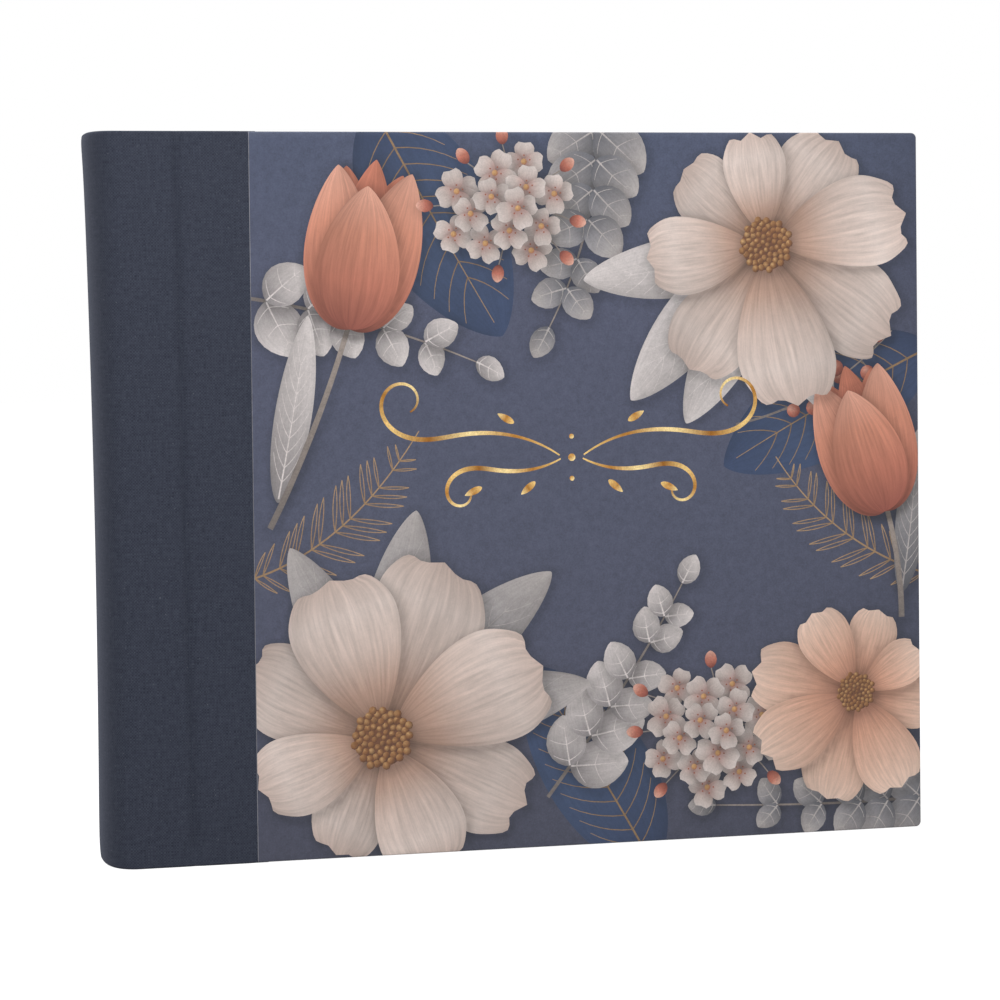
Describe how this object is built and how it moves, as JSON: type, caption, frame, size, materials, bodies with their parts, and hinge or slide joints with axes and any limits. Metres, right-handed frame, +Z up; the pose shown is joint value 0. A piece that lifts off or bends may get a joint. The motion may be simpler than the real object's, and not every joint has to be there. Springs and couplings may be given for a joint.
{
  "type": "address book",
  "caption": "Hardback landscape address book in a quarter-cloth album binding, with hinged covers, screw-post spine, leaf sections and stepped index tabs.",
  "frame": {"origin": "middle of the footprint of the closed, standing book, on the surface it stands on", "axes": "+X from the spine to the fore-edge, +Y from the front cover to the back cover, +Z up from tail to head"},
  "size_m": [0.2, 0.03, 0.17],
  "materials": {
    "book_cloth": "fine woven book cloth, matt",
    "cover_paper": "printed paper, matt laminate",
    "binders_board": "grey binder's board",
    "spine_card": "flexible card",
    "endpaper": "uncoated tinted paper",
    "leaf_paper": "uncoated cream writing paper",
    "index_card": "smooth uncoated card",
    "post_metal": "turned"
  },
  "bodies": {
    "binding": {"spine_cloth": "book_cloth", "spine_lining": "spine_card", "front_hinge_strip": "binders_board", "back_hinge_strip": "binders_board", "front_strip_lining": "book_cloth", "back_strip_lining": "book_cloth", "page_stubs": "leaf_paper", "post_barrels": "post_metal", "post_screws": "post_metal"},
    "front_cover": {"front_board": "binders_board", "front_joint_cloth": "book_cloth", "front_cover_paper": "cover_paper", "front_board_lining": "book_cloth", "front_endpaper": "endpaper"},
    "back_cover": {"back_board": "binders_board", "back_joint_cloth": "book_cloth", "back_cover_paper": "cover_paper", "back_board_lining": "book_cloth", "back_endpaper": "endpaper"},
    "flyleaf_front": {"front_flyleaf": "endpaper"},
    "section_ab": {"index_card_ab": "index_card", "address_leaves_ab": "leaf_paper"},
    "section_cd": {"index_card_cd": "index_card", "address_leaves_cd": "leaf_paper"},
    "section_ef": {"index_card_ef": "index_card", "address_leaves_ef": "leaf_paper"},
    "section_gh": {"index_card_gh": "index_card", "address_leaves_gh": "leaf_paper"},
    "section_ij": {"index_card_ij": "index_card", "address_leaves_ij": "leaf_paper"},
    "section_kl": {"index_card_kl": "index_card", "address_leaves_kl": "leaf_paper"},
    "section_mn": {"index_card_mn": "index_card", "address_leaves_mn": "leaf_paper"},
    "section_op": {"index_card_op": "index_card", "address_leaves_op": "leaf_paper"},
    "section_qr": {"index_card_qr": "index_card", "address_leaves_qr": "leaf_paper"},
    "section_st": {"index_card_st": "index_card", "address_leaves_st": "leaf_paper"},
    "section_uv": {"index_card_uv": "index_card", "address_leaves_uv": "leaf_paper"},
    "section_wx": {"index_card_wx": "index_card", "address_leaves_wx": "leaf_paper"},
    "section_yz": {"index_card_yz": "index_card", "address_leaves_yz": "leaf_paper"},
    "flyleaf_back": {"back_flyleaf": "endpaper"}
  },
  "joints": [
    {"name": "front_cover_hinge", "type": "hinge", "parent": "binding", "child": "front_cover", "pos_m": [-0.0798, -0.015, 0], "axis": [0, 0, -1], "range_deg": [0, 175]},
    {"name": "back_cover_hinge", "type": "hinge", "parent": "binding", "child": "back_cover", "pos_m": [-0.0798, 0.015, 0], "axis": [0, 0, 1], "range_deg": [0, 175]},
    {"name": "front_flyleaf_turn", "type": "hinge", "parent": "binding", "child": "flyleaf_front", "pos_m": [-0.0798, -0.015, 0], "axis": [0, 0, -1], "range_deg": [0, 172.88]},
    {"name": "section_ab_turn", "type": "hinge", "parent": "binding", "child": "section_ab", "pos_m": [-0.0798, -0.015, 0], "axis": [0, 0, -1], "range_deg": [0, 170.25]},
    {"name": "section_cd_turn", "type": "hinge", "parent": "binding", "child": "section_cd", "pos_m": [-0.0798, -0.015, 0], "axis": [0, 0, -1], "range_deg": [0, 165.16]},
    {"name": "section_ef_turn", "type": "hinge", "parent": "binding", "child": "section_ef", "pos_m": [-0.0798, -0.015, 0], "axis": [0, 0, -1], "range_deg": [0, 159.37]},
    {"name": "section_gh_turn", "type": "hinge", "parent": "binding", "child": "section_gh", "pos_m": [-0.0798, -0.015, 0], "axis": [0, 0, -1], "range_deg": [0, 152.54]},
    {"name": "section_ij_turn", "type": "hinge", "parent": "binding", "child": "section_ij", "pos_m": [-0.0798, -0.015, 0], "axis": [0, 0, -1], "range_deg": [0, 144]},
    {"name": "section_kl_turn", "type": "hinge", "parent": "binding", "child": "section_kl", "pos_m": [-0.0798, -0.015, 0], "axis": [0, 0, -1], "range_deg": [0, 131.93]},
    {"name": "section_mn_turn", "type": "hinge", "parent": "binding", "child": "section_mn", "pos_m": [-0.0798, -0.015, 0], "axis": [0, 0, -1], "range_deg": [0, 88]},
    {"name": "section_op_turn", "type": "hinge", "parent": "binding", "child": "section_op", "pos_m": [-0.0798, -0.015, 0], "axis": [0, 0, -1], "range_deg": [0, 44.08]},
    {"name": "section_qr_turn", "type": "hinge", "parent": "binding", "child": "section_qr", "pos_m": [-0.0798, -0.015, 0], "axis": [0, 0, -1], "range_deg": [0, 32]},
    {"name": "section_st_turn", "type": "hinge", "parent": "binding", "child": "section_st", "pos_m": [-0.0798, -0.015, 0], "axis": [0, 0, -1], "range_deg": [0, 23.46]},
    {"name": "section_uv_turn", "type": "hinge", "parent": "binding", "child": "section_uv", "pos_m": [-0.0798, -0.015, 0], "axis": [0, 0, -1], "range_deg": [0, 16.64]},
    {"name": "section_wx_turn", "type": "hinge", "parent": "binding", "child": "section_wx", "pos_m": [-0.0798, -0.015, 0], "axis": [0, 0, -1], "range_deg": [0, 10.84]},
    {"name": "section_yz_turn", "type": "hinge", "parent": "binding", "child": "section_yz", "pos_m": [-0.0798, -0.015, 0], "axis": [0, 0, -1], "range_deg": [0, 5.75]},
    {"name": "back_flyleaf_turn", "type": "hinge", "parent": "binding", "child": "flyleaf_back", "pos_m": [-0.0798, -0.015, 0], "axis": [0, 0, -1], "range_deg": [0, 3.12]}
  ],
  "couplings": [
    {"joint": "front_flyleaf_turn", "follows": "front_cover_hinge", "ratio": 0.985},
    {"joint": "section_ab_turn", "follows": "front_cover_hinge", "ratio": 0.97},
    {"joint": "section_cd_turn", "follows": "front_cover_hinge", "ratio": 0.9409},
    {"joint": "section_ef_turn", "follows": "front_cover_hinge", "ratio": 0.9078},
    {"joint": "section_gh_turn", "follows": "front_cover_hinge", "ratio": 0.8688},
    {"joint": "section_ij_turn", "follows": "front_cover_hinge", "ratio": 0.82},
    {"joint": "section_kl_turn", "follows": "front_cover_hinge", "ratio": 0.751},
    {"joint": "section_mn_turn", "follows": "front_cover_hinge", "ratio": 0.5},
    {"joint": "section_op_turn", "follows": "front_cover_hinge", "ratio": 0.249},
    {"joint": "section_qr_turn", "follows": "front_cover_hinge", "ratio": 0.18},
    {"joint": "section_st_turn", "follows": "front_cover_hinge", "ratio": 0.1312},
    {"joint": "section_uv_turn", "follows": "front_cover_hinge", "ratio": 0.0922},
    {"joint": "section_wx_turn", "follows": "front_cover_hinge", "ratio": 0.0591},
    {"joint": "section_yz_turn", "follows": "front_cover_hinge", "ratio": 0.03},
    {"joint": "back_flyleaf_turn", "follows": "front_cover_hinge", "ratio": 0.015}
  ]
}
